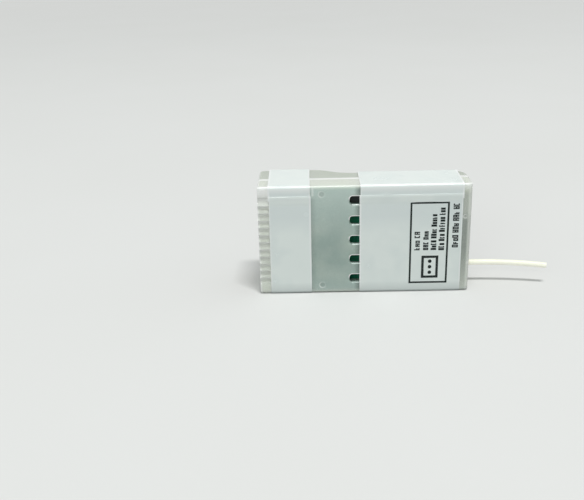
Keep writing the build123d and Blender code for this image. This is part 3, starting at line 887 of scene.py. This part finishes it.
film_points, film_rows = np.stack([face, back]), film_faces(label_grid.shape, kept)
label = add_piece("wrap_film", film_points, film_rows, label_finish(), "housing", crease=60.0)
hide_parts("wrap_label")


# Print: thin black ink on the label. In front a plain frame holds a plug drawn with its three contacts and
# columns of small print that spells nothing. The rear has plain channel numbers and a ring round the hole.
INK, INK_THIN = (24, 33, 32), (42, 52, 50)
INK_RAISED, BAR_RAISED, INK_SUNK = 0.006, 0.003, 0.03
FRAME_BOX, FRAME_LINE = (7.65, 13.76, 1.7, 15.8), 0.31
PLUG_BOX, PLUG_LINE = (9.76, 12.16, 2.7, 6.3), 0.42
CONTACT_RADIUS, CONTACT_LINE = 0.16, 0.3
PRINT_COLUMNS = (
    (8.75, 0.9, 0.6, 7.6, 11.2),
    (10.2, 0.86, 0.52, 7.6, 11.2),
    (11.49, 0.92, 0.45, 7.6, 14.5),
    (12.79, 0.96, 0.45, 7.55, 15.3),
    (15.04, 1.0, 0.57, 8.0, 15.95),
)
PRINT_LINE, PRINT_GAP, PRINT_SEED = 0.2, 0.08, 11
LOW_LETTER, WORD_SPACE = 0.8, 0.6
CHANNEL_PITCH = 2.54
NUMBER_FOOT, NUMBER_SIZE, NUMBER_LINE = -14.9, 1.3, 0.2
NUMBER_HALF_WIDTH = 0.3 * NUMBER_SIZE
TICK_ENDS = (NUMBER_FOOT - 0.5, NUMBER_FOOT + NUMBER_SIZE + 0.4)
RING_RADIUS, RING_LINE, RING_STEPS = 1.75, 0.18, 48
NUMBERS = (
    [[(0.1, 0.8), (0.35, 1.0), (0.35, 0.0)]],
    [[(0.0, 0.8), (0.1, 0.95), (0.3, 1.0), (0.5, 0.93), (0.58, 0.75), (0.5, 0.55), (0.04, 0.04),
      (0.6, 0.04)]],
    [[(0.04, 0.95), (0.52, 0.95), (0.26, 0.6), (0.48, 0.52), (0.58, 0.3), (0.48, 0.08), (0.26, 0.0),
      (0.04, 0.1)]],
    [[(0.4, 1.0), (0.04, 0.3), (0.62, 0.3)], [(0.44, 0.56), (0.44, 0.0)]],
    [[(0.54, 0.96), (0.1, 0.96), (0.06, 0.56), (0.3, 0.61), (0.5, 0.52), (0.58, 0.3), (0.48, 0.08),
      (0.25, 0.0), (0.04, 0.1)]],
    [[(0.48, 0.97), (0.2, 0.75), (0.05, 0.4), (0.1, 0.12), (0.3, 0.0), (0.5, 0.1), (0.58, 0.3),
      (0.48, 0.5), (0.28, 0.56), (0.09, 0.42)]],
)


def ink_finish():
    """Printed ink: near black, a little uneven where it lies thin."""
    finish = Finish("label_ink")
    where = finish.place()
    thin = finish.noise(where, 4.0, detail=4.0)
    return finish.surface(
        base_color=finish.mix(tint(*INK), tint(*INK_THIN), finish.spread(thin, 0.5, 0.75)),
        roughness=finish.vary(thin, 0.34, 0.46),
        specular_ior_level=0.3,
        normal=finish.bump(thin, 0.004),
    )


def stroke(path, width, closed=False, raised=INK_RAISED):
    """Flat bar along a path of (X, Z) points: each point moved half the width square to the path on both
    sides, with mitred corners, and closed front to back. Returns its points, four to each of the path's, and
    faces."""
    path = np.asarray(path, float)
    step = np.roll(path, -1, 0) - path
    length = np.maximum(np.linalg.norm(step, axis=1, keepdims=True), 1e-9)
    square = np.stack([-step[:, 1], step[:, 0]], 1) / length
    before = np.roll(square, 1, 0)
    if not closed:
        square[-1], before[0] = before[-1], square[0]
    mitre = (square + before) / (1 + (square * before).sum(1, keepdims=True))
    sides = [path - mitre * width / 2, path + mitre * width / 2]
    front, back = -raised, INK_SUNK
    section = [(sides[0], front), (sides[1], front), (sides[1], back), (sides[0], back)]
    points = np.stack([np.insert(side, 1, depth, axis=1) for side, depth in section], 1).reshape(-1, 3)
    number = np.arange(4 * len(path)).reshape(-1, 4)
    here, there = (number, np.roll(number, -1, 0)) if closed else (number[:-1], number[1:])
    faces = [
        np.stack([here[:, a], there[:, a], there[:, b], here[:, b]], 1)
        for a, b in ((0, 1), (1, 2), (2, 3), (3, 0))
    ]
    if not closed:
        faces += [number[:1], number[-1:, ::-1]]
    return points, np.concatenate(faces)


def rectangle(low_x, high_x, low_z, high_z):
    """Corners of a rectangle, in turn."""
    return [(low_x, low_z), (low_x, high_z), (high_x, high_z), (high_x, low_z)]


def circle(x, z, radius, count=24):
    """Points round a circle."""
    turn = np.linspace(0, 2 * np.pi, count, endpoint=False)
    return np.stack([x + radius * np.sin(turn), z + radius * np.cos(turn)], 1)


def small_letter(foot, at, tall, wide, random):
    """Made-up letter that stands on a foot line and reads upward: one or two uprights, two of three bars."""
    far, top = at + wide, foot - tall
    uprights = [[(foot, at), (top, at)], [(foot, far), (top, far)]][:random.choice((1, 2, 2, 2))]
    level = [foot - PRINT_LINE / 2, (foot + top) / 2, top + PRINT_LINE / 2]
    bars = [[(level[place], at), (level[place], far)] for place in random.permutation(3)[:2]]
    made = [stroke(line, PRINT_LINE) for line in uprights]
    return made + [stroke(bar, PRINT_LINE, raised=BAR_RAISED) for bar in bars]


def small_print(middle, height, pitch, low, high, random):
    """Column of made-up words between two heights, each begun with a tall letter."""
    made, at, left = [], low, 0
    while at + pitch < high:
        tall = height
        if left:
            tall *= random.choice((LOW_LETTER, LOW_LETTER, 1.0))
        else:
            left = random.integers(3, 8)
        made += small_letter(middle + height / 2, at, tall, pitch - PRINT_LINE - PRINT_GAP, random)
        left -= 1
        at += pitch * (1 if left else 1 + WORD_SPACE)
    return made


def gather(strokes):
    """Joins strokes into one set of points and faces."""
    starts = np.cumsum([0, *(len(points) for points, _ in strokes)])
    faces = [rows + start for (_, rows), start in zip(strokes, starts)]
    return np.concatenate([points for points, _ in strokes]), faces


random = np.random.default_rng(PRINT_SEED)
strokes = [stroke(rectangle(*FRAME_BOX), FRAME_LINE, closed=True)]
strokes.append(stroke(rectangle(*PLUG_BOX), PLUG_LINE, closed=True))
plug_x, plug_z = (PLUG_BOX[0] + PLUG_BOX[1]) / 2, (PLUG_BOX[2] + PLUG_BOX[3]) / 2
for rise in (-1, 0, 1):
    strokes.append(stroke(circle(plug_x, plug_z + rise, CONTACT_RADIUS), CONTACT_LINE, closed=True))
for column in PRINT_COLUMNS:
    strokes += small_print(*column, random)
ink_points, ink_faces = gather(strokes)
ink_points[:, 1] += front_low[1] - FILM
ink = ink_finish()
add_piece("front_print", ink_points, ink_faces, ink, "housing")

marks = []
for channel, lines in enumerate(NUMBERS):
    foot_z = middle_z + CHANNEL_PITCH * (channel - 2.5) - NUMBER_HALF_WIDTH
    for line in lines:
        path = [(NUMBER_FOOT + NUMBER_SIZE * rise, foot_z + NUMBER_SIZE * run) for run, rise in line]
        marks.append(stroke(path, NUMBER_LINE))
for channel in range(7):
    tick_z = middle_z + CHANNEL_PITCH * (channel - 3)
    marks.append(stroke([(end, tick_z) for end in TICK_ENDS], RING_LINE))
mark_points, mark_faces = gather(marks)
mark_points[:, 1] = THICK_Y + FILM - INK_RAISED - mark_points[:, 1]
ring_path = circle(hole_x, hole_z, RING_RADIUS, RING_STEPS)
ring_points, ring_faces = stroke(ring_path, RING_LINE, closed=True)
ring_points[:, 1] = THIN_Y + FILM - ring_points[:, 1]
rear_points = np.concatenate([mark_points, ring_points])
rear_faces = [rows[:, ::-1] for rows in (*mark_faces, ring_faces + len(mark_points))]
add_piece("rear_print", rear_points, rear_faces, ink, "housing")


# Studio: a pale matt floor, a long soft lamp high on the right, a broad faint one above the camera and an
# even pale surround. The floor is darker for the light that it scatters than for the camera, so that it
# lights little from below.
FLOOR, FLOOR_CLOUD = (224, 224, 222), (227, 227, 226)
FLOOR_BOUNCE = (104, 104, 103)
SURROUND = (0.45, 0.465, 0.46, 1.0)
BACKDROP = (0.86, 0.86, 0.85, 1.0)
FADE_REACH = (350.0, 1600.0)
KEY_PLACE, KEY_SIZE, KEY_POWER = (0.18, -0.42, 1.5), (0.45, 0.15), 12.9
KEY_COLOUR, FILL_COLOUR = (1.0, 1.0, 1.0), (0.9, 1.0, 0.97)
FILL_PLACE, FILL_SIZE, FILL_POWER = (-0.6, -2.2, 0.9), (1.8, 1.2), 16.3
CAMERA_PLACE = (-9.4, -138.43, 59.48)
CAMERA_DOWN, CAMERA_ROLL, CAMERA_TURN = 21.14, -1.47, 1.16
CAMERA_REACH = 854.0
PICTURE_WIDTH = 584.0
SENSOR_WIDTH = 36.0
NEAREST, FARTHEST = 0.005, 20.0
FLOOR_HALF = 6.0


def camera_matrix():
    """Camera that looks along +Y, turned, tipped down and rolled about its own line of sight."""
    turn, down, roll = (math.radians(angle) for angle in (CAMERA_TURN, CAMERA_DOWN, CAMERA_ROLL))
    spin = Matrix.Rotation(turn, 4, "Z") @ Matrix.Rotation(math.pi / 2 - down, 4, "X")
    return Matrix.Translation([value * MM for value in CAMERA_PLACE]) @ spin @ Matrix.Rotation(roll, 4, "Z")


def floor_finish():
    """Matt floor, faintly clouded: pale to the camera and in mirror images, darker to scattered light. Far
    from the receiver it fades, for the camera alone, into the backdrop's tone."""
    finish = Finish("studio_floor")
    where = finish.place()
    cloud = finish.noise(where, 0.02)
    reach = finish.node("VectorMath", {"operation": "LENGTH"}, {0: where}, out="Value")
    ways = ("Is Camera Ray", "Is Glossy Ray", "Is Transmission Ray")
    to_camera, *mirrored = (finish.node("LightPath", out=way) for way in ways)
    far = finish.spread(reach, *FADE_REACH) * to_camera
    seen = to_camera.most(*mirrored)
    pale = finish.mix(tint(*FLOOR), tint(*FLOOR_CLOUD), cloud)
    return finish.surface(
        base_color=finish.mix(finish.mix(tint(*FLOOR_BOUNCE), pale, seen), BLACK, far),
        emission_color=finish.mix(BLACK, BACKDROP, far),
        emission_strength=1.0,
        roughness=0.9,
        specular_ior_level=0.1,
    )


def add_lamp(name, place, size, power, colour):
    """Rectangular lamp that faces the receiver, its long side level."""
    away = Vector(place).normalized()
    level = (Vector((1, 0, 0)) - away * away.x).normalized()
    lamp = bpy.data.objects.new(name, bpy.data.lights.new(name, "AREA"))
    lamp.data.shape = "RECTANGLE"
    lamp.data.size, lamp.data.size_y = size
    lamp.data.energy = power
    lamp.data.color = colour
    turned = Matrix((level, away.cross(level), away)).transposed().to_4x4()
    lamp.matrix_world = Matrix.Translation(place) @ turned
    bpy.context.scene.collection.objects.link(lamp)


camera = bpy.data.objects.new("camera", bpy.data.cameras.new("camera"))
camera.data.sensor_width = SENSOR_WIDTH
camera.data.lens = CAMERA_REACH / PICTURE_WIDTH * SENSOR_WIDTH
camera.data.clip_start, camera.data.clip_end = NEAREST, FARTHEST
camera.matrix_world = camera_matrix()
bpy.context.scene.collection.objects.link(camera)
bpy.context.scene.camera = camera

floor_mesh = bpy.data.meshes.new("floor")
floor_corners = [(x * FLOOR_HALF, y * FLOOR_HALF, 0) for x, y in ((-1, -1), (1, -1), (1, 1), (-1, 1))]
floor_mesh.from_pydata(floor_corners, [], [(0, 1, 2, 3)])
floor_mesh.materials.append(floor_finish().material)
floor = bpy.data.objects.new("floor", floor_mesh)
bpy.context.scene.collection.objects.link(floor)

add_lamp("key_lamp", KEY_PLACE, KEY_SIZE, KEY_POWER, KEY_COLOUR)
add_lamp("fill_lamp", FILL_PLACE, FILL_SIZE, FILL_POWER, FILL_COLOUR)

world = bpy.data.worlds.new("surround")
bpy.context.scene.world = world
world.use_nodes = True
surround = Finish("surround_light", world.node_tree)
camera_way = surround.node("LightPath", out="Is Camera Ray")
light = surround.node("Background", inputs={"Color": surround.mix(SURROUND, BACKDROP, camera_way)})
surround.node("OutputWorld", inputs={"Surface": light})
bpy.context.scene.view_settings.view_transform = "Standard"
